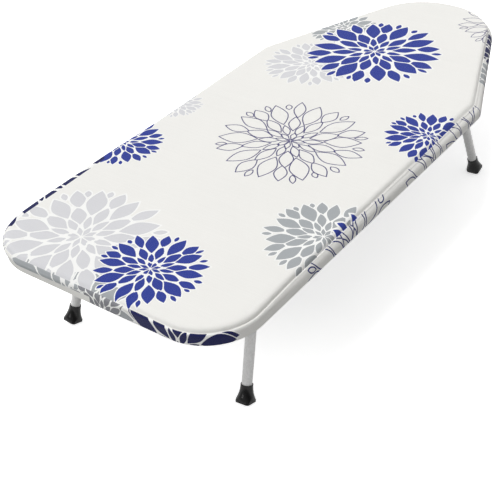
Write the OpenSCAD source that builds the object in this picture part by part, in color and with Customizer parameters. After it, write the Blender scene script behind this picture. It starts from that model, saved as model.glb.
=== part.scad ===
// Tabletop ironing board that folds in half: two steel frames with an expanded metal deck, a felt pad
// and a fabric cover, joined by two butt hinges, with a folding U-shaped leg under each half and a
// folding hanging hook. X runs along the board from the tail to the nose, with the fold line at X = 0.
// Z = 0 is the table that it stands on.

/* [Board] */
// Length of the covered board from the tail edge to the nose tip
board_length = 800; // [740:1:860]
// Width of the covered board
board_width = 330; // [310:1:360]
// Corner radius of the tail end
tail_corner_r = 66; // [50:1:80]
// Radius of the nose tip
nose_r = 94; // [85:1:105]
// Distance from the fold line to where the taper starts
taper_start = 138; // [120:1:160]
// Radius of the shoulder where the taper starts
shoulder_r = 37; // [28:1:60]
// Height from the table to the underside of the steel frame
stand_height = 137; // [120:1:220]

/* [Frame] */
// Depth of the rim channel
rim_height = 12; // [9:0.5:18]
// Width of the rim channel's top and bottom flanges
rim_flange = 10; // [8:0.5:12]
// Thickness of the rim sheet
rim_sheet = 1.2; // [0.8:0.1:1.6]
// Radius of the rim's rolled outer edge, to its outside
rim_roll = 7.5; // [4:0.5:7.5]
// Gap between the two fold bars
fold_gap = 6; // [5:0.5:9]
// Distance between the centre lines of the two rails
rail_spacing = 65; // [60:1:70]
// Width of a rail
rail_width = 10; // [8:0.5:12]
// Thickness of the rail sheet
rail_sheet = 1; // [0.8:0.1:1.4]

/* [Expanded metal deck] */
// Thickness of the deck sheet
deck_sheet = 1.2; // [0.8:0.1:1.6]
// Length of a diamond across the board
diamond_across = 24; // [20:1:32]
// Length of a diamond along the board
diamond_along = 12; // [10:1:16]
// Width of a strand between two diamonds
strand_width = 2; // [1.5:0.1:3]

/* [Pad and cover] */
// Thickness of the felt pad
pad_thickness = 5; // [4:0.5:8]
// Thickness of the cover cloth
cover_thickness = 0.8; // [0.6:0.1:1.2]
// Clearance between the cover and what it wraps
cover_gap = 0.2; // [0.1:0.1:0.4]
// How far the rounded shoulder of the pad reaches in from the edge
shoulder_reach = 7; // [5:0.5:10]
// Width of the hem under the long sides
hem_side = 19; // [16:1:24]
// Width of the gathered hem under the nose tip
hem_nose = 44; // [34:1:54]
// Width of the gathered hem under the tail end
hem_tail = 31; // [25:1:36]

/* [Fold hinges] */
// Angle that the nose half turns through when the board folds
fold_limit = 176; // [170:0.5:176]
// Gap between the two closed ironing faces at the hinge
face_gap = 0.4; // [0.3:0.1:1]
// Outer diameter of a hinge knuckle
knuckle_d = 4.2; // [3.8:0.1:4.8]
// Diameter of a hinge pin
hinge_pin_d = 2; // [1.6:0.1:2.4]
// Width of a hinge leaf
leaf_width = 12; // [10:0.5:14]
// Thickness of a hinge leaf
leaf_sheet = 1.2; // [1:0.1:1.4]
// Length of a hinge leaf under its rail
leaf_length = 48; // [44:1:60]
// Distance from the fold line to a hinge leaf's rivet
leaf_rivet_at = 41; // [30:1:42]

/* [Legs] */
// Distance from the tail edge to the tail leg's pivot
tail_pivot_in = 121; // [112:1:135]
// Distance from the nose tip to the nose leg's pivot
nose_pivot_in = 215; // [200:1:225]
// Diameter of the leg tube
tube_d = 12; // [10:0.5:14]
// Wall of the leg tube
tube_wall = 1.2; // [0.8:0.1:1.6]
// Half the distance between the arms' centre lines, at the pivot axis
arm_half_span = 115.5; // [108:0.5:120]
// Angle by which each arm leans out sideways
arm_spread = 4.9; // [3:0.1:6]
// Angle by which an open leg leans towards its end of the board
leg_splay = 18.5; // [12:0.5:22]
// Radius of the tube's bends, to its centre line
bend_r = 52; // [40:1:60]
// Diameter of the stop pin on the cross tube
stop_pin_d = 5; // [4:0.5:6]
// How far the stop pin's end lies from the pivot axis
stop_pin_reach = 10.5; // [9.5:0.1:12]

/* [Leg brackets] */
// Width of a leg bracket across the board
bracket_width = 82; // [78:1:90]
// Length of a leg bracket along the board
bracket_length = 46; // [42:1:56]
// Thickness of the bracket sheet
bracket_sheet = 1.5; // [1.2:0.1:2]
// Distance along the board between a bracket's rivets
bracket_rivet_pitch = 32; // [26:1:36]

/* [Feet] */
// Width of a foot's square base
foot_width = 18; // [16:0.5:22]
// Corner radius of a foot's base
foot_corner_r = 3.5; // [2:0.5:5]
// Height of a foot
foot_height = 21; // [18:0.5:26]
// Diameter of a foot's collar
collar_d = 14; // [13.6:0.1:16]
// Radius of a foot's hollow flare
flare_r = 40; // [36:1:50]
// Thickness of a foot's sole
foot_sole = 4; // [3:0.5:6]

/* [Hanging hook] */
// Diameter of the hook's wire
hook_wire_d = 3.5; // [3:0.1:4]
// Radius of the hook's loop, to the wire's centre line
hook_loop_r = 22.7; // [20:0.1:24]
// Straight length of the hook's shank
hook_shank = 24; // [20:0.5:26]
// Length of the cross rod that the hook turns on
hook_rod_length = 26; // [24:1:36]
// Distance from the tail edge to the hook's pivot
hook_pivot_in = 12; // [11:0.5:14]
// Width of a hook clip
clip_width = 8; // [6:0.5:9]
// Thickness of a hook clip's sheet
clip_sheet = 1.2; // [0.8:0.1:1.4]
// Diameter of the hook's end cap
hook_cap_d = 7.5; // [6:0.1:9]
// Length of the hook's end cap
hook_cap_length = 14; // [10:0.5:18]

/* [Drawcord] */
// Diameter of the drawcord
cord_d = 2.6; // [2:0.1:3]
// Width of the cord lock
lock_width = 18.5; // [18:0.5:22]
// Length of the cord lock
lock_length = 41; // [36:1:46]
// Thickness of the cord lock
lock_thickness = 9; // [7:0.5:12]

/* [Hidden] */
$fn = 64;

// The two halves, as signs along X, and the two sides, as signs along Y
tail = -1;
nose = 1;
left = 1;
right = -1;

steel_white = [0.93, 0.93, 0.92];
cloth_white = [0.93, 0.93, 0.91];
felt_white = [0.88, 0.87, 0.84];
plastic_black = [0.03, 0.03, 0.035];
bright_steel = [0.72, 0.73, 0.75];
cord_grey = [0.16, 0.16, 0.17];

// Clearances
running_gap = 0.05;   // a pin, rivet or tube in its hole
moving_gap = 0.3;     // between pieces that pass each other
stop_gap = 0.2;       // between a stop and what rests on it
overshoot = 1;        // how far a cut runs past what it cuts
bend_thinning = 0.1;  // how much a bend is thinner than the straight stock
bend_overlap = 0.5;   // how far straight stock runs into a bend

// Outline of the covered board: arcs of the tail corners, the shoulders and the nose, joined by tangents
half_width = board_width / 2;
corner_c = [tail_corner_r - board_length / 2, half_width - tail_corner_r];
shoulder_c = [taper_start, half_width - shoulder_r];
nose_c = [board_length / 2 - nose_r, 0];
taper_span = nose_c - shoulder_c;
taper_angle = atan2(taper_span.y, taper_span.x) + acos((shoulder_r - nose_r) / norm(taper_span));
taper_out = [cos(taper_angle), sin(taper_angle)];
rim_inset = cover_thickness + cover_gap;
fold_x = fold_gap / 2;

arc_step = 6.5;
roll_step = 22.5;

// Levels, from the bottom up
rim_bottom = stand_height;
rim_top = rim_bottom + rim_height;
deck_top = rim_top - rim_sheet;
deck_bottom = deck_top - deck_sheet;
pad_top = rim_top + pad_thickness;
cover_top = pad_top + cover_gap + cover_thickness;
hem_top = rim_bottom - cover_gap;
hem_bottom = hem_top - cover_thickness;

// Fold hinge: its axis lies just under the ironing face, and the faces give way to it near the fold
hinge_sink = 0.1;
hinge_z = cover_top - knuckle_d / 2 - hinge_sink;
relief_angle = (180 - fold_limit) / 2;
leaf_bottom = rim_bottom - leaf_sheet;
knuckle_third = (leaf_width - 2 * stop_gap) / 3;
pin_end = 0.3;

// Legs
pivot_z = rim_bottom - moving_gap - tube_d / 2;
turn = 90 - arm_spread;
straight_half = arm_half_span - bend_r * tan(turn / 2);
side_lean = sin(arm_spread) * cos(leg_splay);
foot_low = (foot_width / 2 - foot_corner_r) * (sin(leg_splay) + side_lean)
  + foot_corner_r * norm([sin(leg_splay), side_lean]);
leg_drop = (pivot_z - foot_low) / cos(leg_splay);
bend_end = [straight_half + bend_r * sin(turn), bend_r * (1 - cos(turn))];
arm_length = (leg_drop - bend_end.y) / cos(arm_spread);
foot_y = arm_half_span + leg_drop * tan(arm_spread);
fold_flat = 90 + leg_splay;
saddle_r = tube_d / 2 + running_gap;
foot_collar = 1;
flange_rise = rim_bottom - pivot_z;
slot_half = stop_pin_d / 2 + stop_gap;

// Rivets: shank, domed head below, small head and the flattened tail above
rivet_d = 3;
rivet_head_d = 6;
rivet_head_h = 1.5;
small_head_d = 5;
small_head_h = 1.2;
rivet_tail_d = 4.6;
rivet_tail_h = 0.8;
rivet_hole_length = 12;

// Hanging hook
hook_pivot_x = hook_pivot_in - board_length / 2;
hook_gap = moving_gap + (hook_cap_d - hook_wire_d) / 2 - (rim_bottom - hem_bottom);
hook_pivot_z = hem_bottom - hook_gap - hook_wire_d / 2;
hook_turn = 50;
hook_neck_r = 12;
hook_slant = (hook_loop_r * cos(hook_turn) - hook_neck_r * (1 - cos(hook_turn))) / sin(hook_turn);
hook_loop_v = hook_shank + hook_neck_r * sin(hook_turn) + hook_slant * cos(hook_turn)
  + hook_loop_r * sin(hook_turn);
hook_tip_angle = -50;
hook_tip_straight = 9;
hook_cap_from = 3.5;
clip_rise = hem_bottom - hook_pivot_z;
rod_end = 0.5;
clip_in = 2;
clip_rivet_in = 6.2;

// Drawcord: out of the tail hem, over the leg's cross tube and down into the cord lock, then back
cord_y = -54;
cord_spread = 8;
lock_top = 98;
lock_barrel = 15;
lock_bulb_r = 10;
lock_neck = 14;
lock_neck_z = lock_bulb_r - lock_length + norm([lock_bulb_r, lock_neck / 2]) / 2;
cord_run = [
  [-369, 136.4], [-364, 136.3], [-356, 135.9], [-346, 135.4], [-335, 135.1], [-324, 135.2], [-313, 135.6],
  [-303, 136.3], [-294, 137.2], [-286.5, 138.1], [-279, 138.6], [-273.4, 136.3], [-271, 130.7], [-270.8, 122],
  [-270.8, 112], [-270.8, 102], [-270.8, 92], [-270.8, 84], [-270.8, 77]
];
cord_turn_z = cord_run[len(cord_run) - 1].y;
cord_turn_step = 22.5;

// Points along an arc, about one every arc_step degrees
function arc(c, r, from, to) =
  let (steps = ceil(abs(to - from) / arc_step))
  [for (i = [0:steps]) c + r * [cos(from + (to - from) * i / steps), sin(from + (to - from) * i / steps)]];

function flip(p) = [p.x, -p.y];

// The rounds along the outline of one half, in order: centre, radius and the angles that they run between
function rounds(half) = half == tail
  ? [[corner_c, tail_corner_r, 90, 180], [flip(corner_c), tail_corner_r, 180, 270]]
  : [
    [flip(shoulder_c), shoulder_r, -90, -taper_angle], [nose_c, nose_r, -taper_angle, taper_angle],
    [shoulder_c, shoulder_r, taper_angle, 90]
  ];

// Points along the edge of one half, at a distance in from the covered edge and another from the fold
function half_edge(half, inset, from_fold) = concat(
  [[half * from_fold, half * (inset - half_width)]],
  [for (q = rounds(half), p = arc(q[0], q[1] - inset, q[2], q[3])) p],
  [[half * from_fold, half * (half_width - inset)]]
);

// True when a point lies inside the outline by at least the inset
function inside(p, inset) =
  let (q = [p.x, abs(p.y)], out = q - corner_c, tip = q - nose_c)
  q.y <= half_width - inset
  && q.x >= inset - board_length / 2
  && (out.x > 0 || out.y < 0 || norm(out) <= tail_corner_r - inset)
  && (q - shoulder_c) * taper_out <= shoulder_r - inset
  && (atan2(tip.y, tip.x) > taper_angle || norm(tip) <= nose_r - inset);

module plan(inset) {
  taper_end = nose_c + (nose_r - inset) * taper_out;
  taper_from = shoulder_c + (shoulder_r - inset) * taper_out;
  side = half_width - inset;
  polygon([
    [inset - board_length / 2, -corner_c.y], [corner_c.x, -side], [shoulder_c.x, -side], flip(taper_from),
    flip(taper_end), taper_end, taper_from, [shoulder_c.x, side], [corner_c.x, side],
    [inset - board_length / 2, corner_c.y]
  ]);
  for (s = [left, right]) {
    translate([corner_c.x, s * corner_c.y]) circle(tail_corner_r - inset);
    translate([shoulder_c.x, s * shoulder_c.y]) circle(shoulder_r - inset);
  }
  translate(nose_c) circle(nose_r - inset);
}

// One half of the outline, cut off at a distance from the fold line
module half_plan(half, inset, from_fold) {
  intersection() {
    plan(inset);
    translate([half == tail ? -board_length : from_fold, -board_width])
      square([board_length - (half == tail ? from_fold : 0), 2 * board_width]);
  }
}

// A solid drawn in the XZ plane and extruded across the board, centred on Y = 0
module across(width) {
  rotate([90, 0, 0]) linear_extrude(width, center = true) children();
}

module rivet(grip, head_d, head_h) {
  ball_r = (head_d * head_d / 4 + head_h * head_h) / (2 * head_h);
  difference() {
    translate([0, 0, ball_r - head_h]) sphere(ball_r);
    translate([-head_d, -head_d, 0]) cube(2 * head_d);
  }
  cylinder(d = rivet_d, h = grip);
  translate([0, 0, grip]) cylinder(d = rivet_tail_d, h = rivet_tail_h);
}

module rivet_hole() {
  cylinder(d = rivet_d + 2 * running_gap, h = rivet_hole_length, center = true);
}

function pivot_x(half) = half == tail ? tail_pivot_in - board_length / 2 : board_length / 2 - nose_pivot_in;

module at_bracket_rivets(half) {
  for (x = [-1, 1], s = [left, right])
    translate([pivot_x(half) + x * bracket_rivet_pitch / 2, s * rail_spacing / 2, 0]) children();
}

// Rim: a channel bent round the half, with a rolled outer edge
module rim(half) {
  color(steel_white) difference() {
    rolled(half, rim_bottom, rim_top, rim_inset, fold_x, rim_roll);
    rolled(half, rim_bottom + rim_sheet, rim_top - rim_sheet, rim_inset + rim_sheet, fold_x + rim_sheet,
      rim_roll - rim_sheet);
    translate([0, 0, rim_bottom - overshoot]) linear_extrude(rim_height + 2 * overshoot)
      half_plan(half, rim_inset + rim_flange, fold_x + rim_flange);
    if (half == tail) at_clip_rivets() rivet_hole();
  }
}

deck_under_flange = 2;

// Expanded metal: whole diamonds in staggered rows, with a plain margin that the rim's flange covers
module deck(half) {
  margin = rim_inset + rim_flange - deck_under_flange;
  reach = diamond_across * diamond_along / (2 * norm([diamond_across, diamond_along]));
  hole = (reach - strand_width / 2) / reach * [diamond_along / 2, diamond_across / 2];
  rows = ceil(board_length / diamond_along);
  columns = ceil(half_width / diamond_across);
  holes = [
    for (i = [0:rows], j = [-columns:columns])
      let (x = half * (fold_x + rim_flange + (i + 1) * diamond_along / 2))
        let (c = [x, (j + (i % 2) / 2) * diamond_across])
        let (ring = [c + [hole.x, 0], c + [0, hole.y], c - [hole.x, 0], c - [0, hole.y]])
          if (min([for (p = ring) inside(p, margin) ? 1 : 0]) == 1) ring
  ];
  color(steel_white) translate([0, 0, deck_bottom]) linear_extrude(deck_sheet) difference() {
    polygon(half_edge(half, rim_inset + rim_roll + running_gap, fold_x + rim_sheet + running_gap));
    for (ring = holes) polygon(ring);
  }
}

// Rail: a channel with its flat face down, between the rim's inner edges
module rail(half, side) {
  inner = rim_inset + rim_flange + running_gap;
  depth = deck_bottom - rim_bottom;
  color(steel_white) difference() {
    translate([0, 0, rim_bottom]) linear_extrude(depth) rail_plan(half, side, rail_width, inner);
    translate([0, 0, rim_bottom + rail_sheet]) linear_extrude(depth)
      rail_plan(half, side, rail_width - 2 * rail_sheet, inner - overshoot);
    translate([0, 0, rim_bottom]) at_bracket_rivets(half) rivet_hole();
    translate([half * leaf_rivet_at, side * rail_spacing / 2, rim_bottom]) rivet_hole();
  }
}

module rail_plan(half, side, width, inner) {
  intersection() {
    half_plan(half, inner, fold_x + inner - rim_inset);
    translate([-board_length, side * rail_spacing / 2 - width / 2]) square([2 * board_length, width]);
  }
}

// Leg bracket: a hat section whose saddle carries the cross tube, slotted for the stop pin
module leg_bracket(half) {
  outer = saddle_r + bracket_sheet;
  color(steel_white) difference() {
    translate([pivot_x(half), 0, pivot_z]) difference() {
      across(bracket_width) difference() {
        union() {
          translate([-bracket_length / 2, flange_rise - bracket_sheet])
            square([bracket_length, bracket_sheet]);
          circle(outer);
          translate([-outer, 0]) square([2 * outer, flange_rise]);
        }
        circle(saddle_r);
        translate([-saddle_r, 0]) square([2 * saddle_r, outer + overshoot]);
      }
      across(stop_pin_d + 2 * stop_gap) stop_sweep(half);
    }
    translate([0, 0, rim_bottom]) at_bracket_rivets(half) rivet_hole();
  }
}

// What the stop pin passes through, from the open leg to the folded one
module stop_sweep(half) {
  swept = 2 * stop_pin_reach;
  mirror([half == tail ? 0 : 1, 0]) {
    polygon(concat([[0, 0]], arc([0, 0], swept, 0, -fold_flat)));
    for (a = [0, -fold_flat]) rotate(a) translate([0, -slot_half]) square([swept, 2 * slot_half]);
  }
}

module bracket_rivets(half) {
  color(bright_steel) translate([0, 0, rim_bottom - bracket_sheet])
    at_bracket_rivets(half) rivet(bracket_sheet + rail_sheet, rivet_head_d, rivet_head_h);
}

// Hinge leaf: a strap under the rail that turns up between the fold bars and ends in its knuckles
module hinge_leaf(half, side) {
  y = side * rail_spacing / 2;
  clear_r = knuckle_d / 2 + moving_gap;
  color(steel_white) difference() {
    translate([0, y, 0]) {
      across(leaf_width) mirror([half == tail ? 1 : 0, 0]) translate([stop_gap / 2, leaf_bottom]) {
        square([leaf_length, leaf_sheet]);
        square([leaf_sheet, hinge_z - leaf_bottom]);
      }
      knuckles(half, knuckle_d / 2, knuckle_third);
    }
    translate([0, y, 0]) knuckles(-half, clear_r, knuckle_third + 2 * stop_gap);
    translate([0, y, hinge_z]) rotate([90, 0, 0])
      cylinder(d = hinge_pin_d + 2 * running_gap, h = leaf_width + overshoot, center = true);
    translate([half * leaf_rivet_at, y, rim_bottom]) rivet_hole();
  }
}

// The tail leaf has the two outer knuckles and the nose leaf the middle one
module knuckles(half, r, length) {
  for (place = half == tail ? [-1, 1] : [0])
    translate([0, place * (knuckle_third + stop_gap), hinge_z]) rotate([90, 0, 0])
      cylinder(r = r, h = length, center = true);
}

module hinge_pins() {
  color(bright_steel) for (s = [left, right])
    translate([0, s * rail_spacing / 2, hinge_z]) rotate([90, 0, 0])
      cylinder(d = hinge_pin_d, h = leaf_width + 2 * pin_end, center = true);
}

module leaf_rivets(half) {
  color(bright_steel) for (s = [left, right])
    translate([half * leaf_rivet_at, s * rail_spacing / 2, leaf_bottom])
      rivet(leaf_sheet + rail_sheet, small_head_d, small_head_h);
}

// Rounded edge of the padded face: shares of its rise above the rim and of its reach in from the edge
crown = [[0, 0], [0.45, 0.03], [0.75, 0.22], [0.93, 0.55], [1, 1]];

// One half, straight up from its bottom to the rim's top and then rounded in to its own top
module crowned(half, bottom, top, inset, from_fold) {
  rise = top - rim_top;
  edges = [for (c = crown) [rim_top + c[0] * rise, inset + c[1] * shoulder_reach]];
  stacked(half, from_fold, concat([[bottom, inset]], edges));
}

// One half, straight up from its bottom and with its upper outer edge rolled to a radius
module rolled(half, bottom, top, inset, from_fold, r) {
  edges = [for (a = [0:roll_step:90]) [top - r * (1 - sin(a)), inset + r * (1 - cos(a))]];
  stacked(half, from_fold, concat([[bottom, inset]], edges));
}

// One half as a solid through levels, each a height and how far in the outline lies there
module stacked(half, from_fold, levels) {
  skin([for (e = levels) [for (p = half_edge(half, e[1], from_fold)) [p.x, p.y, e[0]]]]);
}

// One closed solid through rings that have equally many points
module skin(rings) {
  sides = len(rings[0]);
  top = sides * (len(rings) - 1);
  walls = [
    for (i = [0:sides:top - sides], k = [0:sides - 1])
      [i + k, i + sides + k, i + sides + (k + 1) % sides, i + (k + 1) % sides]
  ];
  ends = [[for (k = [0:sides - 1]) k], [for (k = [sides - 1:-1:0]) top + k]];
  polyhedron([for (ring = rings, p = ring) p], concat(walls, ends));
}

// What the closed faces need left free near the fold
module fold_relief(drop) {
  reach = board_length / 2;
  across(2 * board_width) for (m = [0, 1]) mirror([m, 0])
    polygon([
      [0, hinge_z - face_gap / 2 - drop], [reach, hinge_z - face_gap / 2 - drop + reach * tan(relief_angle)],
      [reach, hinge_z + reach], [0, hinge_z + reach]
    ]);
}

module pad(half) {
  color(felt_white) difference() {
    crowned(half, rim_top - overshoot, pad_top, rim_inset + cover_gap, fold_x);
    fold_relief(cover_thickness + cover_gap);
    translate([0, 0, rim_top - board_length]) cube(2 * board_length, center = true);
  }
}

// Cover: the face, the side band and the hem, open at the fold and over the deck
module cover(half) {
  color(cloth_white) difference() {
    crowned(half, hem_bottom, cover_top, 0, fold_x);
    difference() {
      crowned(half, hem_top, pad_top + cover_gap, cover_thickness, fold_x - overshoot);
      fold_relief(cover_thickness);
    }
    fold_relief(0);
    translate([0, 0, hem_bottom - overshoot]) linear_extrude(2 * overshoot + cover_thickness) hem_opening();
    if (half == tail) at_clip_rivets() rivet_hole();
  }
}

module hem_opening() {
  intersection() {
    plan(hem_side);
    translate([hem_side - hem_nose, 0]) plan(hem_side);
    translate([hem_tail - hem_side, 0]) plan(hem_side);
  }
}

// Tube section; the bends are thinned a little, as bent tube is, and the straights run a little way into them
module tube_ring(thinned) {
  difference() {
    circle(d = tube_d - thinned);
    circle(d = tube_d - 2 * tube_wall + thinned);
  }
}

module leg_arm() {
  translate([0, straight_half, -bend_r]) rotate([90, 0, 90]) rotate([0, 0, arm_spread])
    rotate_extrude(angle = turn) translate([bend_r, 0]) tube_ring(bend_thinning);
  translate([0, bend_end.x, -bend_end.y]) rotate([arm_spread, 0, 0]) translate([0, 0, foot_sole - arm_length])
    linear_extrude(arm_length - foot_sole + bend_overlap) tube_ring(0);
}

// Places what is drawn with the leg hanging straight down from its pivot
module as_leg(half) {
  translate([pivot_x(half), 0, pivot_z]) rotate([0, -half * leg_splay, 0]) children();
}

module leg_tube(half) {
  color(steel_white) as_leg(half) {
    rotate([90, 0, 0]) linear_extrude(2 * (straight_half + bend_overlap), center = true) tube_ring(0);
    leg_arm();
    mirror([0, 1, 0]) leg_arm();
  }
}

module stop_pin(half) {
  color(bright_steel) as_leg(half) difference() {
    translate([0, 0, -stop_pin_reach]) cylinder(d = stop_pin_d, h = stop_pin_reach);
    rotate([90, 0, 0]) cylinder(d = tube_d, h = 2 * stop_pin_d, center = true);
  }
}

// Foot: a cap that flares from a round collar to a square base
module foot(half, side) {
  flare_top = foot_height - foot_collar;
  color(plastic_black) as_leg(half)
    translate([0, side * foot_y, -leg_drop]) rotate([side * arm_spread, 0, 0])
      difference() {
        intersection() {
          rotate_extrude() difference() {
            square([collar_d / 2 + flare_r, foot_height]);
            translate([collar_d / 2 + flare_r, flare_top]) circle(flare_r);
            translate([collar_d / 2, flare_top]) square([flare_r, foot_height]);
          }
          linear_extrude(foot_height) rounded_square(foot_width, foot_corner_r);
        }
        translate([0, 0, foot_sole]) cylinder(r = tube_d / 2 + running_gap, h = foot_height);
      }
}

module rounded_square(width, r) {
  flat = width - 2 * r;
  square([width, flat], center = true);
  square([flat, width], center = true);
  for (x = [-1, 1], y = [-1, 1]) translate([x * flat / 2, y * flat / 2]) circle(r);
}

// Places what is drawn with the hook's plane as XY and its pivot at the origin
module at_hook() {
  translate([hook_pivot_x, 0, hook_pivot_z]) children();
}

module wire_straight(length) {
  translate([-bend_overlap, 0, 0]) rotate([0, 90, 0])
    cylinder(d = hook_wire_d, h = length + 2 * bend_overlap);
}

module wire_bend(r, from, angle) {
  rotate([0, 0, from]) rotate_extrude(angle = angle) translate([r, 0])
    circle(d = hook_wire_d - bend_thinning);
}

// Places what is drawn along +X where the loop ends and its straight tip starts
module at_hook_tip() {
  translate([hook_loop_v, 0, 0]) rotate([0, 0, hook_tip_angle]) translate([hook_loop_r, 0, 0])
    rotate([0, 0, -90]) children();
}

// Hook: cross rod, shank, neck bend, slanted run, open loop and straight tip
module hook_wire() {
  neck_end = [hook_shank + hook_neck_r * sin(hook_turn), hook_neck_r * (1 - cos(hook_turn)), 0];
  color(bright_steel) at_hook() {
    rotate([90, 0, 0]) cylinder(d = hook_wire_d, h = hook_rod_length, center = true);
    rotate([0, 90, 0]) cylinder(d = hook_wire_d, h = hook_shank + bend_overlap);
    translate([hook_shank, hook_neck_r, 0]) wire_bend(hook_neck_r, -90, hook_turn);
    translate(neck_end) rotate([0, 0, hook_turn]) wire_straight(hook_slant);
    translate([hook_loop_v, 0, 0]) wire_bend(hook_loop_r, hook_tip_angle, 90 + hook_turn - hook_tip_angle);
    at_hook_tip() wire_straight(hook_tip_straight);
  }
}

module hook_cap() {
  bore = hook_tip_straight + bend_overlap - hook_cap_from;
  straight = hook_cap_length - hook_cap_d / 2;
  color(plastic_black) at_hook() at_hook_tip() translate([hook_cap_from, 0, 0]) rotate([0, 90, 0])
    difference() {
      union() {
        cylinder(d = hook_cap_d, h = straight);
        translate([0, 0, straight]) sphere(d = hook_cap_d);
      }
      translate([0, 0, -overshoot]) cylinder(d = hook_wire_d + 2 * running_gap, h = bore + overshoot);
    }
}

module at_clips() {
  for (s = [left, right]) translate([0, s * (hook_rod_length / 2 - rod_end - clip_width / 2), 0]) children();
}

module at_clip_rivets() {
  at_clips() translate([clip_rivet_in - board_length / 2, 0, rim_bottom]) children();
}

// Hook clips: straps that hold the cross rod up against the hem
module hook_clips() {
  inner = hook_wire_d / 2 + running_gap;
  outer = inner + clip_sheet;
  color(steel_white) difference() {
    at_clips() at_hook() across(clip_width) difference() {
      union() {
        circle(outer);
        translate([-outer, 0]) square([2 * outer, clip_rise]);
        translate([clip_in - hook_pivot_in, clip_rise - clip_sheet])
          square([hook_pivot_in - clip_in, clip_sheet]);
      }
      circle(inner);
      translate([-inner, 0]) square([2 * inner, clip_rise]);
      translate([-outer, clip_rise]) square(2 * outer);
    }
    at_clip_rivets() rivet_hole();
  }
}

module hook_clip_rivets() {
  color(bright_steel) at_clips() translate([clip_rivet_in - board_length / 2, 0, hem_bottom - clip_sheet])
    rivet(rim_bottom + rim_sheet - hem_bottom + clip_sheet, small_head_d, small_head_h);
}

// Section of the cord at each point of its route
cord_sides = 8;
sweep_side = [1, 1, 0];

function unit(v) = v / norm(v);
function cord_ring(route, i) =
  let (along = unit(route[min(i + 1, len(route) - 1)] - route[max(i - 1, 0)]))
  let (u = unit(cross(along, sweep_side)), v = cross(along, u))
  [for (a = [0:360 / cord_sides:359]) route[i] + cord_d / 2 * (u * cos(a) + v * sin(a))];

cord_route = concat(
  [for (p = cord_run) [p.x, cord_y + cord_spread, p.y]],
  [for (a = [cord_turn_step:cord_turn_step:180 - cord_turn_step])
    [cord_run[len(cord_run) - 1].x, cord_y + cord_spread * cos(a), cord_turn_z - cord_spread * sin(a)]],
  [for (i = [len(cord_run) - 1:-1:0]) [cord_run[i].x, cord_y - cord_spread, cord_run[i].y]]
);

module drawcord() {
  color(cord_grey) skin([for (i = [0:len(cord_route) - 1]) cord_ring(cord_route, i)]);
}

// Cord lock: a flat barrel that the two strands run into, with a round thumb end
module cord_lock() {
  color(plastic_black) translate([cord_run[len(cord_run) - 1].x, cord_y, lock_top]) rotate([90, 0, 90]) {
    linear_extrude(lock_thickness, center = true) polygon([
      [-lock_width / 2, 0], [-lock_width / 2, -lock_barrel], [-lock_neck / 2, lock_neck_z],
      [lock_neck / 2, lock_neck_z], [lock_width / 2, -lock_barrel], [lock_width / 2, 0]
    ]);
    translate([0, lock_bulb_r - lock_length, 0]) cylinder(r = lock_bulb_r, h = lock_thickness, center = true);
  }
}

rim(tail);  // tail_rim
deck(tail);  // tail_deck
rail(tail, left);  // tail_rail_left
rail(tail, right);  // tail_rail_right
leg_bracket(tail);  // tail_leg_bracket
bracket_rivets(tail);  // tail_bracket_rivets
hinge_leaf(tail, left);  // tail_hinge_leaf_left
hinge_leaf(tail, right);  // tail_hinge_leaf_right
pad(tail);  // tail_pad
cover(tail);  // tail_cover
hinge_pins();
leaf_rivets(tail);  // hinge_leaf_rivets_tail
hook_clips();
hook_clip_rivets();
drawcord();
cord_lock();
rim(nose);  // nose_rim
deck(nose);  // nose_deck
rail(nose, left);  // nose_rail_left
rail(nose, right);  // nose_rail_right
leg_bracket(nose);  // nose_leg_bracket
bracket_rivets(nose);  // nose_bracket_rivets
hinge_leaf(nose, left);  // nose_hinge_leaf_left
hinge_leaf(nose, right);  // nose_hinge_leaf_right
pad(nose);  // nose_pad
cover(nose);  // nose_cover
leaf_rivets(nose);  // hinge_leaf_rivets_nose
leg_tube(tail);  // tail_leg_tube
stop_pin(tail);  // tail_stop_pin
foot(tail, left);  // tail_foot_left
foot(tail, right);  // tail_foot_right
leg_tube(nose);  // nose_leg_tube
stop_pin(nose);  // nose_stop_pin
foot(nose, left);  // nose_foot_left
foot(nose, right);  // nose_foot_right
hook_wire();
hook_cap();
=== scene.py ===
import bmesh
import bpy
import math
from mathutils import Matrix, Vector, noise


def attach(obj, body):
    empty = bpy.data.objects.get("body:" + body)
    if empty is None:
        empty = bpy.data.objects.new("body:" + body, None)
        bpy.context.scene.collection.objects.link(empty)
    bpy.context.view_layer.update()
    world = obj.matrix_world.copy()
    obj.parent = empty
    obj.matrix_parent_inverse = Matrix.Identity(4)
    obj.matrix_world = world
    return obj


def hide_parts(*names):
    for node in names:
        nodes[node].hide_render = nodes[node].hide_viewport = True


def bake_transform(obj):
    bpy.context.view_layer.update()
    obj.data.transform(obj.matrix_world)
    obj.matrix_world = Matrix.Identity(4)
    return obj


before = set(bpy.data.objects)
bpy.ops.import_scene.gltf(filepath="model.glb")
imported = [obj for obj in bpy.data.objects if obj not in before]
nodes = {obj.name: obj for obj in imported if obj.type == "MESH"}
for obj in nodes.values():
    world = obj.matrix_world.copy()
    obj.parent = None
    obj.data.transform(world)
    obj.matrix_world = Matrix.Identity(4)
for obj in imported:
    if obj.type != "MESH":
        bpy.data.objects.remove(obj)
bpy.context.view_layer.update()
mm = 0.001


def linear(hexColour):
    # a written colour such as "2F3F97" as the linear values that sockets take
    parts = [int(hexColour[i:i + 2], 16) / 255 for i in (0, 2, 4)]
    return tuple(p / 12.92 if p <= 0.04045 else ((p + 0.055) / 1.055) ** 2.4 for p in parts) + (1,)


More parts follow.
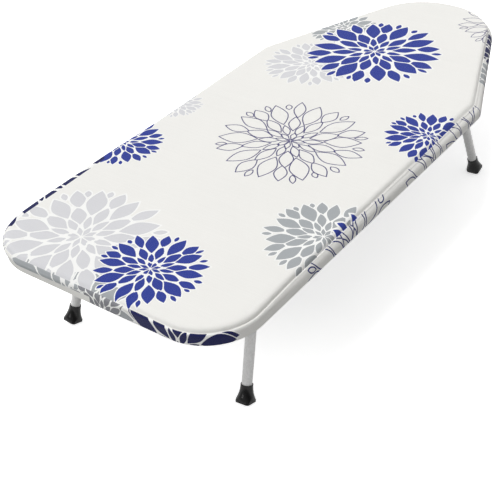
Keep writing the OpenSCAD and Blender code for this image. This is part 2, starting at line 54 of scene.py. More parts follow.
class Wiring:
    # short calls for the nodes of one tree: a value may be a number, a tuple or another node's output
    def __init__(self, tree):
        self.tree = tree

    def plug(self, socket, value):
        if isinstance(value, bpy.types.NodeSocket):
            self.tree.links.new(value, socket)
        else:
            socket.default_value = value

    def node(self, kind, settings=None, **values):
        made = self.tree.nodes.new(kind if "Node" in kind else "ShaderNode" + kind)
        for name, value in (settings or {}).items():
            setattr(made, name, value)
        for name, value in values.items():
            self.plug(made.inputs[name.replace("_", " ")], value)
        return made

    def worked(self, kind, settings, values):
        made = self.node(kind, settings)
        for i, value in enumerate(values):
            self.plug(made.inputs[i], value)
        return made.outputs

    def math(self, operation, *values, clamp=False):
        return self.worked("Math", {"operation": operation, "use_clamp": clamp}, values)[0]

    def vector(self, operation, *values):
        found = self.worked("VectorMath", {"operation": operation}, values)
        return found["Value" if operation in ("LENGTH", "DOT_PRODUCT") else "Vector"]

    def scaled(self, value, factor):
        return self.node("VectorMath", {"operation": "SCALE"}, Vector=value, Scale=factor).outputs["Vector"]

    def mix(self, kind, factor, a, b):
        made = self.node("Mix", {"data_type": kind})
        offset = {"FLOAT": 2, "VECTOR": 4, "RGBA": 6}[kind]
        self.plug(made.inputs[0], factor)
        self.plug(made.inputs[offset], a)
        self.plug(made.inputs[offset + 1], b)
        return made.outputs[{"FLOAT": 0, "VECTOR": 1, "RGBA": 2}[kind]]

    def ramp(self, value, low, high, toLow=0.0, toHigh=1.0):
        made = self.node("MapRange", {"interpolation_type": "SMOOTHSTEP"}, Value=value, From_Min=low, From_Max=high,
                         To_Min=toLow, To_Max=toHigh)
        return made.outputs[0]

    def noise(self, place, scale, detail=2.0, roughness=0.5, output="Fac"):
        made = self.node("TexNoise", None, Vector=place, Scale=scale, Detail=detail, Roughness=roughness)
        return made.outputs[output]

    def group(self, tree, **values):
        made = self.node("Group")
        made.node_tree = tree
        for name, value in values.items():
            self.plug(made.inputs[name], value)
        return made


def newGroup(name, inputs, outputs, treeKind="ShaderNodeTree"):
    # inputs and outputs: name -> kind of socket, or for an input (kind, default)
    tree = bpy.data.node_groups.new(name, treeKind)
    for title, kind in inputs.items():
        kind, default = kind if isinstance(kind, tuple) else (kind, None)
        socket = tree.interface.new_socket(title, in_out="INPUT", socket_type="NodeSocket" + kind)
        if default is not None:
            socket.default_value = default
    for title, kind in outputs.items():
        tree.interface.new_socket(title, in_out="OUTPUT", socket_type="NodeSocket" + kind)
    start = tree.nodes.new("NodeGroupInput")
    end = tree.nodes.new("NodeGroupOutput")
    return Wiring(tree), start.outputs, end.inputs


def newMaterial(name, **fixed):
    made = bpy.data.materials.new(name)
    made.use_nodes = True
    skin = made.node_tree.nodes["Principled BSDF"]
    for title, value in fixed.items():
        skin.inputs[title.replace("_", " ")].default_value = value
    return made, Wiring(made.node_tree), skin


def dressed(wires, skin, colour, height, distance, rough=None):
    # a material's colour, its bumps (distance: in metres) and, from a value, a gain and a base, its roughness
    wires.plug(skin.inputs["Base Color"], colour)
    if rough:
        wires.plug(skin.inputs["Roughness"], wires.math("MULTIPLY_ADD", *rough))
    bump = wires.node("Bump", None, Height=height, Distance=distance, Strength=1.0)
    wires.plug(skin.inputs["Normal"], bump.outputs[0])


def objectPlace(wires):
    return wires.node("TexCoord").outputs["Object"]


def placed(name, data):
    made = bpy.data.objects.new(name, data)
    bpy.context.collection.objects.link(made)
    return made


view = {
    "place": (-0.995423, -0.662194, 0.837811),
    "forward": (0.641986, 0.492456, -0.587658),
    "roll": -3.32,
    "lens": 79.19, "sensor": 36,
}

studio = {
    "skyStrength": 0.69,
    "skyTo": (-0.05, 0.36, 1),              # its bright side
    "lowSky": 0.26, "skyRise": 0.78,        # its share of light low down, and how far up it is whole
    "lamps": [((-0.16, 0.5, 1.7), 1.7, 28), ((-1.0, 0.3, 0.42), 0.2, 12)],     # from where, strength, spread
    "floorSize": 9,
    "floorColour": "C8C8C8", "seenFloor": "F7F7F7",
    # extra white that only the camera and reflections see: its strengths, and the two places along x between them; the
    # stronger white towards the tail is painted light that hides the floor's shadow under the tail end
    "floorLift": (0.8, 0.58), "liftFrom": (-0.36, -0.12),
}


def makeCamera():
    camera = placed("Camera", bpy.data.cameras.new("Camera"))
    turn = Vector(view["forward"]).to_track_quat("-Z", "Y").to_matrix()
    turn = turn @ Matrix.Rotation(math.radians(view["roll"]), 3, "Z")
    camera.matrix_world = Matrix.Translation(view["place"]) @ turn.to_4x4()
    camera.data.lens = view["lens"]
    camera.data.sensor_width = view["sensor"]
    bpy.context.scene.camera = camera


def seenDirectly(wires):
    # 1 for rays from the camera and for reflections, 0 for the light that falls on things
    path = wires.node("LightPath").outputs
    most = wires.math("MAXIMUM", path["Is Camera Ray"], path["Is Glossy Ray"])
    return path["Is Camera Ray"], wires.math("MAXIMUM", most, path["Is Transmission Ray"])


def makeSky():
    world = bpy.data.worlds.new("Studio")
    bpy.context.scene.world = world
    world.use_nodes = True
    wires = Wiring(world.node_tree)
    fromCamera, seen = seenDirectly(wires)
    height = wires.vector("DOT_PRODUCT", wires.node("TexCoord").outputs["Generated"], studio["skyTo"])
    share = wires.ramp(height, 0.0, studio["skyRise"], studio["lowSky"], 1.0)
    strength = wires.math("MULTIPLY", wires.mix("FLOAT", seen, studio["skyStrength"], 1.0), share)
    sky = world.node_tree.nodes["Background"]
    sky.inputs["Color"].default_value = (1, 1, 1, 1)
    wires.plug(sky.inputs["Strength"], wires.mix("FLOAT", fromCamera, strength, 1.0))


def makeFloor():
    half = studio["floorSize"] / 2
    mesh = bpy.data.meshes.new("Floor")
    mesh.from_pydata([(-half, -half, 0), (half, -half, 0), (half, half, 0), (-half, half, 0)], [], [(0, 1, 2, 3)])
    floor = placed("Floor", mesh)
    paint, wires, skin = newMaterial("Floor", Roughness=0.9, Specular_IOR_Level=0.1, Emission_Color=(1, 1, 1, 1))
    fromCamera, seen = seenDirectly(wires)
    tone = wires.mix("RGBA", fromCamera, linear(studio["floorColour"]), linear(studio["seenFloor"]))
    wires.plug(skin.inputs["Base Color"], tone)
    along = wires.node("SeparateXYZ", None, Vector=objectPlace(wires)).outputs["X"]
    # painted light: the floor's extra white grows towards the tail, where it hides the shadow cast there
    lift = wires.ramp(along, *studio["liftFrom"], *studio["floorLift"])
    wires.plug(skin.inputs["Emission Strength"], wires.math("MULTIPLY", seen, lift))
    beneath = wires.node("NewGeometry").outputs["Backfacing"]     # from beneath the floor is not there
    wires.plug(skin.inputs["Alpha"], wires.math("SUBTRACT", 1.0, beneath))
    mesh.materials.append(paint)


def makeStudio():
    makeSky()
    makeFloor()
    for i, (place, energy, spread) in enumerate(studio["lamps"]):
        name = "Lamp%d" % (i + 1)
        lamp = placed(name, bpy.data.lights.new(name, "SUN"))
        lamp.data.energy = energy
        lamp.data.angle = math.radians(spread)
        lamp.rotation_euler = Vector(place).to_track_quat("Z", "Y").to_euler()


makeCamera()
makeStudio()
bpy.context.scene.view_settings.view_transform = "Standard"
print("camera and studio ready")


def makeWear():
    # pale or dark rubbed edges, broken up by noise
    wires, given, result = newGroup(
        "edgeWear",
        {"Place": "Vector", "Reach": ("Float", 0.06), "Amount": ("Float", 0.5), "Scale": ("Float", 400.0)},
        {"Mask": "Float"})
    point = wires.node("NewGeometry").outputs["Pointiness"]
    low = wires.math("ADD", 0.5, wires.math("MULTIPLY", given["Reach"], 0.3))
    edge = wires.math("DIVIDE", wires.math("SUBTRACT", point, low), given["Reach"], clamp=True)
    broken = wires.ramp(wires.noise(given["Place"], given["Scale"], 4.0, 0.65), 0.42, 0.62)
    worn = wires.math("MULTIPLY", edge, broken)
    wires.plug(result["Mask"], wires.math("MULTIPLY", worn, given["Amount"], clamp=True))
    return wires.tree


def makeSkinOfPaint():
    # the slow waviness and fine dust nibs of sprayed gloss paint
    wires, given, result = newGroup(
        "paintSkin", {"Place": "Vector", "Wave": ("Float", 140.0), "Nibs": ("Float", 0.4)},
        {"Height": "Float", "Smudge": "Float"})
    wave = wires.noise(given["Place"], given["Wave"], 1.5)
    cells = wires.node("TexVoronoi", None, Vector=given["Place"], Scale=900.0)
    nib = wires.ramp(cells.outputs["Distance"], 0.0, 0.16, 1.0, 0.0)
    nib = wires.math("MULTIPLY", nib, given["Nibs"])
    wires.plug(result["Height"], wires.math("ADD", wave, nib))
    wires.plug(result["Smudge"], wires.ramp(wires.noise(given["Place"], 22.0, 5.0, 0.6), 0.35, 0.75))
    return wires.tree


def makeGrain():
    # the fine pebbled grain of moulded plastic, with soft patches of sheen
    wires, given, result = newGroup(
        "mouldedGrain", {"Place": "Vector", "Scale": ("Float", 1500.0)}, {"Height": "Float", "Patch": "Float"})
    cells = wires.node("TexVoronoi", {"feature": "SMOOTH_F1"}, Vector=given["Place"], Scale=given["Scale"])
    fine = wires.noise(given["Place"], wires.math("MULTIPLY", given["Scale"], 0.35), 3.0)
    wires.plug(result["Height"], wires.math("ADD", cells.outputs["Distance"], fine))
    wires.plug(result["Patch"], wires.ramp(wires.noise(given["Place"], 60.0, 4.0, 0.6), 0.3, 0.7))
    return wires.tree


def makeWeave():
    # plain weave: warp and weft threads take turns on top, each a little uneven, with painted shade where they dip
    wires, given, result = newGroup(
        "plainWeave", {"Place": "Vector", "Threads": ("Float", 2600.0), "Uneven": ("Float", 0.35)},
        {"Height": "Float", "Shade": "Float"})
    drift = wires.noise(given["Place"], 55.0, 2.0, output="Color")
    drift = wires.scaled(wires.vector("SUBTRACT", drift, (0.5, 0.5, 0.5)), 0.0006)
    place = wires.node("SeparateXYZ", None, Vector=wires.vector("ADD", given["Place"], drift))
    waves = []
    for axis in "XY":
        along = wires.math("MULTIPLY", place.outputs[axis], given["Threads"])
        waves.append((wires.math("SINE", along), wires.math("FLOOR", wires.math("DIVIDE", along, math.pi))))
    (acrossX, countX), (acrossY, countY) = waves
    check = wires.math("FLOORED_MODULO", wires.math("ADD", countX, countY), 2.0)
    warp = wires.math("ABSOLUTE", acrossX)
    weft = wires.math("ABSOLUTE", acrossY)
    height = wires.mix("FLOAT", check, warp, weft)
    which = wires.node("CombineXYZ", None, X=countX, Y=wires.math("MULTIPLY", check, 0.5))
    thread = wires.node("TexWhiteNoise", {"noise_dimensions": "2D"}, Vector=which.outputs[0])
    fuzz = wires.math("MULTIPLY", wires.noise(given["Place"], 3800.0, 3.0, 0.7), given["Uneven"])
    wires.plug(result["Height"], wires.math("ADD", height, fuzz))
    slub = wires.math("MULTIPLY", wires.math("SUBTRACT", thread.outputs["Value"], 0.5), given["Uneven"])
    # painted shade: darker where a thread dips under the next; the slub adds each thread's own tone
    wires.plug(result["Shade"], wires.math("ADD", wires.math("MULTIPLY", height, 0.6), slub))
    return wires.tree


wearGroup = makeWear()
paintGroup = makeSkinOfPaint()
grainGroup = makeGrain()
weaveGroup = makeWeave()

petals = {
    "ring": ("Petals", "Offset", "Inner", "Outer", "Half Width", "Stray", "Missing", "Fullness"),
    # each ring: how many, turn offset, inner and outer reach, half width, how far they stray, share missing, fullness
    "rings": [
        (8, 0.5, 0.0, 0.21, 0.038, 0.10, 0.0, 2.0), (10, 0.0, 0.15, 0.42, 0.052, 0.05, 0.0, 1.8),
        (10, 0.5, 0.26, 0.66, 0.085, 0.04, 0.0, 1.7), (10, 0.0, 0.44, 0.96, 0.118, 0.05, 0.0, 1.7),
        (10, 0.5, 0.62, 1.0, 0.088, 0.05, 0.0, 1.75), (20, 0.0, 0.84, 1.0, 0.038, 0.04, 0.4, 2.2),
    ],
    "lengths": (0.07, 0.965), "widths": (0.26, 0.87),     # by how much one differs from the next, and the least share
    "clear": 0.009,         # half of the gap between two petals of one ring
    "heart": 0.68,          # nearer the middle than this all the gaps are pale
    "edge": 1.06,           # no petal reaches this far
}

farOff = 9.0      # further away than any petal, where a flower's reach is 1


def makePetalRing():
    # how far a point is outside the nearest petal of one ring; less than 0 inside it
    inputs = dict.fromkeys(("Turn", "Radius", "Seed") + petals["ring"], "Float")
    wires, given, result = newGroup("petalRing", inputs, {"Edge": "Float"})
    m = wires.math
    sector = m("ADD", m("MULTIPLY", given["Turn"], given["Petals"]), given["Offset"])
    whole = m("FLOOR", sector)
    index = m("FLOORED_MODULO", whole, given["Petals"])
    chance = wires.node("TexWhiteNoise", {"noise_dimensions": "3D"},
                        Vector=wires.node("CombineXYZ", None, X=index, Y=given["Petals"], Z=given["Seed"]).outputs[0])
    luck = wires.node("SeparateColor", None, Color=chance.outputs["Color"])
    aside = m("MULTIPLY", m("SUBTRACT", luck.outputs["Red"], 0.5), m("MULTIPLY", given["Stray"], 2.0))
    turn = m("SUBTRACT", m("SUBTRACT", m("SUBTRACT", sector, whole), 0.5), aside)
    angle = m("DIVIDE", m("MULTIPLY", turn, 2 * math.pi), given["Petals"])
    along = m("MULTIPLY", given["Radius"], m("COSINE", angle))
    across = m("ABSOLUTE", m("MULTIPLY", given["Radius"], m("SINE", angle)))
    outer = m("MULTIPLY", given["Outer"], m("MULTIPLY_ADD", luck.outputs["Green"], *petals["lengths"]))
    width = m("MULTIPLY", given["Half Width"], m("MULTIPLY_ADD", luck.outputs["Blue"], *petals["widths"]))
    half = m("MULTIPLY", m("SUBTRACT", outer, given["Inner"]), 0.5)
    fromMiddle = m("ABSOLUTE", m("DIVIDE", m("SUBTRACT", along, m("ADD", given["Inner"], half)), half))
    # the half width falls from the middle to two points as 1 - t to a power; its slope turns the gap into a distance
    power = given["Fullness"]
    limit = m("MULTIPLY", width, m("SUBTRACT", 1.0, m("POWER", fromMiddle, power)))
    fall = m("POWER", fromMiddle, m("SUBTRACT", power, 1.0))
    slope = m("DIVIDE", m("MULTIPLY", m("MULTIPLY", width, power), fall), half)
    petal = m("DIVIDE", m("SUBTRACT", across, limit), m("SQRT", m("MULTIPLY_ADD", slope, slope, 1.0)))
    # a petal keeps a little clear of the next one of its ring
    share = m("TANGENT", m("DIVIDE", math.pi, given["Petals"]))
    side = m("SUBTRACT", across, m("SUBTRACT", m("MULTIPLY", along, share), petals["clear"]))
    missing = m("MULTIPLY", m("LESS_THAN", luck.outputs["Red"], given["Missing"]), farOff)
    wires.plug(result["Edge"], m("ADD", m("MAXIMUM", petal, side), missing))
    return wires.tree


def makeFlower():
    # a dahlia of the reach 1 about the origin: masks for its petals, their outlines and the paler rim round them
    wires, given, result = newGroup(
        "flower", {"Place": "Vector", "Seed": "Float", "Line": ("Float", 0.015), "Gap": ("Float", 0.02)},
        {"Petal": "Float", "Outline": "Float", "Halo": "Float"})
    ring = makePetalRing()
    place = wires.node("SeparateXYZ", None, Vector=given["Place"])
    squares = [wires.math("MULTIPLY", place.outputs[i], place.outputs[i]) for i in (0, 1)]
    radius = wires.math("SQRT", wires.math("ADD", *squares))
    turn = wires.math("DIVIDE", wires.math("ARCTAN2", place.outputs[1], place.outputs[0]), 2 * math.pi)
    first = second = farOff
    for i, values in enumerate(petals["rings"]):
        seed = wires.math("ADD", given["Seed"], i * 7.0)
        made = wires.group(ring, Turn=turn, Radius=radius, Seed=seed, **dict(zip(petals["ring"], values)))
        edge = made.outputs[0]
        second = wires.math("MINIMUM", second, wires.math("MAXIMUM", first, edge))
        first = wires.math("MINIMUM", first, edge)
    apart = wires.math("SUBTRACT", second, first)
    inside = wires.math("LESS_THAN", first, 0.0)
    whole = wires.math("MULTIPLY", inside, wires.math("GREATER_THAN", apart, given["Gap"]))
    wires.plug(result["Petal"], whole)
    thin = wires.math("MULTIPLY", given["Line"], 0.5)
    rim = wires.math("LESS_THAN", wires.math("ABSOLUTE", first), thin)
    cross = wires.math("MULTIPLY", inside, wires.math("LESS_THAN", apart, given["Line"]))
    wires.plug(result["Outline"], wires.math("MAXIMUM", rim, cross))
    heart = wires.math("LESS_THAN", radius, petals["heart"])
    halo = wires.math("MAXIMUM", wires.math("LESS_THAN", first, given["Gap"]), heart)
    wires.plug(result["Halo"], wires.math("SUBTRACT", halo, whole, clamp=True))
    return wires.tree


flowerGroup = makeFlower()

cloth = {
    "ground": "EEEDE9",
    "halo": "F6F6F4",
    "blue": "293A93",
    "midGrey": "A6AAAD",
    "darkGrey": "86878C",
    "lightGrey": "D6D6D9",
    # navy ink on the band, painted darker than the ink itself to stand for the shade on the band's sides
    "navyWithPaintedShade": "151A50",
    "line": "2C3270",
    "plumLine": "4A4775",
    "bandLine": 0.018, "bandGap": 0.013,     # the outlines and the gaps on the band, as shares of a flower's reach
    "threads": 5200.0,
    "weaveHeight": 0.00009,
    "fray": 0.0007,            # how far the ink strays along the threads, in metres
}

# the printed flowers by layer, the lowest first: centre in mm on the flat cloth, reach, turn, colour, solid or not
topPrint = [
    [(-336, 72, 92, 10, "lightGrey", 1), (-198, -149, 66, 35, "midGrey", 1), (132, 81, 62, 5, "lightGrey", 1),
     (249, 103, 50, 20, "midGrey", 1), (-50, 169, 35, 0, "lightGrey", 1)],
    [(-340, -28, 61, 90, "blue", 1), (-52, -9, 92, 62, "plumLine", 0), (206, 25, 92, 15, "blue", 1),
     (43, -145, 55, 75, "blue", 1), (-160, 167, 53, 30, "blue", 1), (375, -98, 72, 12, "plumLine", 0),
     (-162, -264, 118, 30, "blue", 1)],
]
bandPrint = [
    [(-420, -12, 46, 15, "darkGrey", 1), (-425, -115, 75, 32, "navyWithPaintedShade", 1), (254, -168, 62, 0, "midGrey", 1),
     (-20, 186, 46, 10, "lightGrey", 1), (330, 105, 48, 10, "midGrey", 1)],
    [(-425, -115, 75, 12, "navyWithPaintedShade", 1), (-283, 204, 120, 8, "navyWithPaintedShade", 1), (20, 190, 60, 0, "line", 0),
     (322, -132, 60, 0, "navyWithPaintedShade", 1), (-168, -200, 90, 20, "line", 0), (26, -206, 84, 45, "line", 0),
     (125, 192, 55, 0, "blue", 1), (395, 55, 46, 0, "blue", 1), (-410, 165, 40, 0, "line", 0),
     (215, 160, 38, 0, "line", 0), (112, -224, 82, 10, "line", 0)],
]
sharedPrint = [(-418, 33, 88, 25, "midGrey", 1)]     # under the others, and on both the face and the band


def printFlowers(wires, place, ground, flowers, mask, seed, line=0.015, gap=0.02):
    # lays one layer of flowers over the ground colour, where the mask is 1
    local, colour, solid = (farOff, farOff, 0.0), linear(cloth["blue"]), 1.0
    for x, y, reach, turn, tone, style in flowers:
        mapping = wires.node("Mapping", {"vector_type": "TEXTURE"}, Vector=place, Location=(x * mm, y * mm, 0),
                             Rotation=(0, 0, math.radians(turn)), Scale=(reach * mm, reach * mm, 1))
        flat = wires.vector("MULTIPLY", mapping.outputs[0], (1, 1, 0))
        near = wires.math("LESS_THAN", wires.vector("LENGTH", flat), petals["edge"])
        local = wires.mix("VECTOR", near, local, flat)
        colour = wires.mix("RGBA", near, colour, linear(cloth[tone]))
        solid = wires.mix("FLOAT", near, solid, float(style))
    flower = wires.group(flowerGroup, Place=local, Seed=seed, Line=line, Gap=gap)
    inked = wires.mix("FLOAT", solid, flower.outputs["Outline"], flower.outputs["Petal"])
    pale = wires.math("MULTIPLY", wires.mix("FLOAT", solid, 0.0, flower.outputs["Halo"]), mask)
    ground = wires.mix("RGBA", pale, ground, linear(cloth["halo"]))
    return wires.mix("RGBA", wires.math("MULTIPLY", inked, mask), ground, colour)


def makeClothMaterial():
    made, wires, skin = newMaterial("printedCotton", Roughness=0.85, Specular_IOR_Level=0.25, Sheen_Weight=0.12)
    place = wires.node("Attribute", {"attribute_name": "printPlace"}).outputs["Vector"]
    depth = wires.node("SeparateXYZ", None, Vector=place).outputs["Z"]     # how far round the edge, 0 on the face
    onBand = wires.math("GREATER_THAN", depth, 0.5 * mm)
    onTop = wires.math("SUBTRACT", 1.0, onBand)
    printed = wires.math("LESS_THAN", wires.node("Attribute", {"attribute_name": "tucked"}).outputs["Fac"], 0.03)
    flat = wires.vector("MULTIPLY", place, (1, 1, 0))
    # the ink frays a little along the threads
    fray = wires.vector("SUBTRACT", wires.noise(flat, 1600.0, 2.0, output="Color"), (0.5, 0.5, 0.5))
    flat = wires.vector("ADD", flat, wires.scaled(fray, cloth["fray"]))
    colour = printFlowers(wires, flat, linear(cloth["ground"]), sharedPrint, printed, 401.0)
    for i, layer in enumerate(topPrint):
        colour = printFlowers(wires, flat, colour, layer, onTop, 1.0 + i * 50)
    for i, layer in enumerate(bandPrint):
        colour = printFlowers(wires, flat, colour, layer, wires.math("MULTIPLY", onBand, printed), 201.0 + i * 50,
                              cloth["bandLine"], cloth["bandGap"])
    weave = wires.group(weaveGroup, Place=place, Threads=cloth["threads"])
    # painted shade in the dips between the threads, with each thread's own tone
    shade = wires.math("MULTIPLY_ADD", weave.outputs["Shade"], 0.07, 0.965)
    soil = wires.ramp(wires.noise(place, 9.0, 4.0, 0.6), 0.3, 0.7, 0.985, 1.0)
    colour = wires.scaled(colour, wires.math("MULTIPLY", shade, soil))
    dressed(wires, skin, colour, weave.outputs["Height"], cloth["weaveHeight"])
    return made


clothMaterial = makeClothMaterial()
print("cloth print ready")


def meshPiece(name, verts, faces, material, attributes=None, join=0.01, topAbove=None):
    # a smooth piece whose points nearer than join (mm) become one; a sheet's face above topAbove (mm) is turned up
    # attributes: name -> a number or a triple for each point
    mesh = bpy.data.meshes.new(name)
    mesh.from_pydata(verts, [], faces)
    for title, values in (attributes or {}).items():
        if isinstance(values[0], tuple):
            made = mesh.attributes.new(title, "FLOAT_VECTOR", "POINT")
            made.data.foreach_set("vector", [c for value in values for c in value])
        else:
            mesh.attributes.new(title, "FLOAT", "POINT").data.foreach_set("value", values)
    bm = bmesh.new()
    bm.from_mesh(mesh)
    bmesh.ops.remove_doubles(bm, verts=bm.verts, dist=join * mm)
    if topAbove:
        bmesh.ops.dissolve_degenerate(bm, dist=0.001 * mm, edges=bm.edges)
    bmesh.ops.recalc_face_normals(bm, faces=bm.faces)
    if topAbove:
        top = [f for f in bm.faces if f.calc_center_median().z > topAbove * mm]
        if sum(f.normal.z * f.calc_area() for f in top) < 0:
            bmesh.ops.reverse_faces(bm, faces=bm.faces)
    bm.to_mesh(mesh)
    bm.free()
    mesh.shade_smooth()
    mesh.materials.append(material)
    return placed(name, mesh)


def eased(piece, name, width):
    # a narrow bevel along the sharp edges, its width in mm
    bevel = piece.modifiers.new(name, "BEVEL")
    bevel.width = width * mm
    bevel.segments = 2
    bevel.limit_method = "ANGLE"
    return bevel


def facesRound(count, rows):
    # quads between neighbouring columns of points, all the way round the board
    faces = []
    for k in range(count):
        a, b = k * rows, (k + 1) % count * rows
        faces += [(a + i, a + i + 1, b + i + 1, b + i) for i in range(rows - 1)]
    return faces


def facesAlong(rings, sides):
    # quads between neighbouring rings of points, and a cap over the first ring
    faces = [(i * sides + j, i * sides + (j + 1) % sides, (i + 1) * sides + (j + 1) % sides, (i + 1) * sides + j)
             for i in range(rings - 1) for j in range(sides)]
    return faces + [tuple(range(sides))[::-1]]


board = {
    "halfLength": 400,
    "tailCentre": (-334, 99), "tailRadius": 66,
    "shoulderCentre": (138, 128), "shoulderRadius": 37,
    "noseCentre": (306, 0), "noseRadius": 94,
    "hingeAcross": 32.5,
    "foldHeight": 152.8,
    "spineTail": -250, "spineNose": 220,   # the ends of the line that the face's rings close on
}

cover = {
    "top": 155.0, "bottom": 136.0,
    "step": 4.0, "foldStep": 1.0, "foldReach": 12.0,
    "faceRings": 14,
    "valleyDepth": 0.35, "valleyWidth": 9.0,
    "thickness": 0.5,
    "foldSpan": 8.0,
    # from the flat face round to the crease and the small roll under it: mm in from the crease, mm below the face
    "shoulder": [(14, 0), (11, 0.03), (9, 0.08), (7.2, 0.2), (5.6, 0.45), (4.3, 0.85), (3.2, 1.45), (2.4, 2.2),
                 (1.85, 3.1), (1.5, 4.0), (1.3, 4.8), (1.15, 5.35), (0.8, 5.62), (0.45, 5.52), (0.05, 5.3),
                 (-0.5, 5.24), (-1.0, 5.42), (-1.3, 5.8)],
    "creaseStart": 12,                 # the point of that line from which the side band begins
    "softReach": 14, "softFall": 6.0,  # the same line where the edge has no crease: mm in, mm down
    "bandMiddle": 6.6, "bandEnd": 13.0, "bandSteps": 8,      # the band: its heights below the face
    "rimRoll": (8.5, 141.5, 8.2),      # the rim's rolled edge with the cloth on it: mm in, height, radius
    # from the band to the hem: mm in, share of the bulge, mm above the bottom
    "lowerCorner": [(0, -0.15, 4.0), (0, -0.05, 2.4), (0, 0, 1.3), (0.08, 0, 0.7), (0.32, 0, 0.28), (0.8, 0, 0)],
    # round the edge: x, y, how far in the crease lies, its sharpness, the shoulder's width, how far the band bulges
    "crease": [(-400, 0, 2.4, 0.4, 0.8, 0), (-396, 80, 0.6, 0.1, 0.8, 1.4), (-381, 145, -2.2, 0.5, 0.75, 2.0),
               (-290, 165, -3.4, 0.9, 0.8, 1.6), (-200, 165, -2.8, 0.9, 0.7, 1.4), (-90, 165, 1.4, 0.9, 0.4, 0.5),
               (150, 163, 1.4, 0.9, 0.25, 0.3), (290, 112, 1.0, 0.9, 0.25, 0.5), (385, 55, 1.2, 0.9, 0.25, 0.5),
               (400, 0, 3.0, 0.9, 0.4, 0.3), (375, -63, 5.0, 1.0, 0.6, 0), (290, -112, 7.0, 0.9, 0.7, 0),
               (200, -145, 8.5, 0.7, 0.7, 0), (120, -165, 10.5, 0.55, 0.7, 0), (0, -165, 9.0, 0.55, 0.7, 0),
               (-140, -165, 7.6, 0.7, 0.7, 0), (-260, -165, 5.4, 0.95, 0.8, 0), (-350, -163, 2.4, 0.9, 0.8, 0.3),
               (-393, -110, 1.3, 0.8, 0.9, 0.5), (-400, -50, 1.6, 0.6, 0.9, 0.2)],
    "sideHem": 19.0, "noseHem": 44.0, "tailHem": 31.0, "hemSteps": 10,
    # the drawcord's casing: width, centre in from the hem's end and down, half width, half height
    "casing": (4.0, 2.2, 0.65, 1.5, 1.1), "casingTurns": (170, 215, 260, 305, 350, 30, 70),
    # clip: hardly any gathers nearer than this to the hook's clips; ease: they are whole this much further on
    "gathers": {"side": 0.2, "nose": 1.4, "tail": 1.1, "every": 10.5, "uneven": 3.5, "grow": 8, "clip": 20, "ease": 12},
    "ripple": (0.3, 6, 8),     # the band strays by this many mm, most at this point of it, over so many points
    "knuckle": {"halfWidth": 6, "reach": 2.2, "lift": 0.25, "fade": (4, 2.5)},     # the face's lift over the hinges
    "rolledOver": {"from": -420, "to": -200, "facing": 0.9},      # here the band's print reaches over the edge
    "turnedUnder": {"before": -350, "from": 4, "over": 8, "depths": (9, 34)},      # here it stops above the bottom
}


def towards(angle):
    return Vector((math.cos(angle), math.sin(angle)))


def halfEdge():
    # points along the left half of the covered edge, from the tail to the nose tip, each with its way out
    tail, shoulder, nose = [Vector(board[name]) for name in ("tailCentre", "shoulderCentre", "noseCentre")]
    span = nose - shoulder
    taper = math.atan2(span.y, span.x) + math.acos((board["shoulderRadius"] - board["noseRadius"]) / span.length)
    quarter = math.pi / 2
    arcs = [(tail, board["tailRadius"], 2 * quarter, quarter), (shoulder, board["shoulderRadius"], quarter, taper),
            (nose, board["noseRadius"], taper, 0)]
    points = []
    last = Vector((-board["halfLength"], 0))
    for centre, radius, start, end in arcs:
        run = centre + radius * towards(start) - last
        length = run.length
        out = Vector((-run.y, run.x)).normalized()
        at = 0.0
        while at < length - 0.01:
            q = last + run * at / length
            points.append((q, out))
            near = min(abs(q.x), abs(q.x + cover["step"])) < cover["foldReach"] and abs(out.x) < 0.01
            at = min(at + (cover["foldStep"] if near else cover["step"]), length)
        steps = max(4, math.ceil(radius * abs(end - start) / cover["step"]))
        for i in range(steps):
            out = towards(start + (end - start) * i / steps)
            points.append((centre + radius * out, out))
        last = centre + radius * towards(end)
    points.append((Vector((board["halfLength"], 0)), Vector((1, 0))))
    return points


def wholeEdge():
    left = halfEdge()
    right = [(Vector((q.x, -q.y)), Vector((out.x, -out.y))) for q, out in left[1:-1]]
    return left + right[::-1]


def runningLengths(edge):
    lengths = [0.0]
    for (a, _), (b, _) in zip(edge, edge[1:] + edge[:1]):
        lengths.append(lengths[-1] + (b - a).length)
    return lengths


def creaseAlong(edge, lengths):
    # the crease's inset, sharpness, shoulder width and bulge at every edge point, eased between the places given
    marks = []
    for x, y, *shape in cover["crease"]:
        near = min(range(len(edge)), key=lambda k: (edge[k][0] - Vector((x, y))).length)
        marks.append((lengths[near], shape))
    marks.sort()
    whole = lengths[-1]
    marks = [(marks[-1][0] - whole, marks[-1][1])] + marks + [(marks[0][0] + whole, marks[0][1])]
    found = []
    for at in lengths[:-1]:
        i = max(j for j in range(len(marks) - 1) if marks[j][0] <= at + 1e-6)
        (low, a), (high, b) = marks[i], marks[i + 1]
        t = (at - low) / max(high - low, 1e-6)
        t = t * t * (3 - 2 * t)
        found.append([v + (w - v) * t for v, w in zip(a, b)])
    return found


edge = wholeEdge()
lengths = runningLengths(edge)
creases = creaseAlong(edge, lengths)


def wave(x, y, scale, seed):
    # smooth repeatable noise between about -1 and 1
    return noise.noise(Vector((x * scale + seed * 17.3, y * scale - seed * 9.1, seed * 3.7)))


